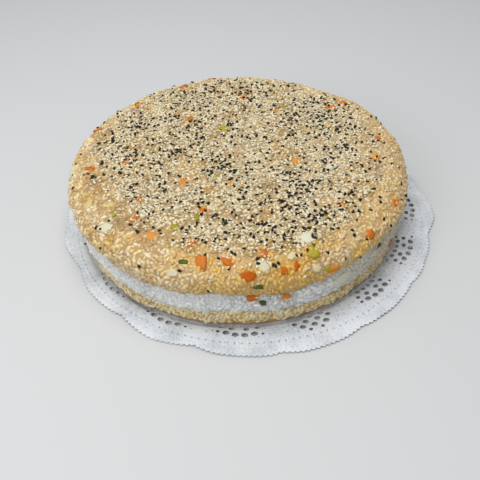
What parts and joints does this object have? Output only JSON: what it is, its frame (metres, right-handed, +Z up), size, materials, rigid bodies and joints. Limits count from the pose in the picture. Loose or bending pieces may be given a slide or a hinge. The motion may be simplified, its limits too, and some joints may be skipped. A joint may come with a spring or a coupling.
{
  "type": "sushi cake",
  "caption": "Round layered sushi cake of seasoned and plain rice, topped with sesame seeds and diced vegetables, on a round paper lace doily.",
  "frame": {"origin": "middle of the doily's underside, on the surface that the cake stands on", "axes": "+Z up through the layers, the shortest side; -Y towards the side that the picture shows in front; +X to the right in the picture"},
  "size_m": [0.3278, 0.3278, 0.0702],
  "materials": {
    "seasoned_rice": "moist pressed rice, tan from seasoning, with sesame seeds and vegetable dice",
    "plain_rice": "moist white pressed rice",
    "doily_paper": "thin matt white paper, embossed and punched"
  },
  "bodies": {
    "root": {"doily": "doily_paper", "rice_base": "seasoned_rice", "rice_middle": "plain_rice", "rice_top": "seasoned_rice"}
  },
  "joints": []
}
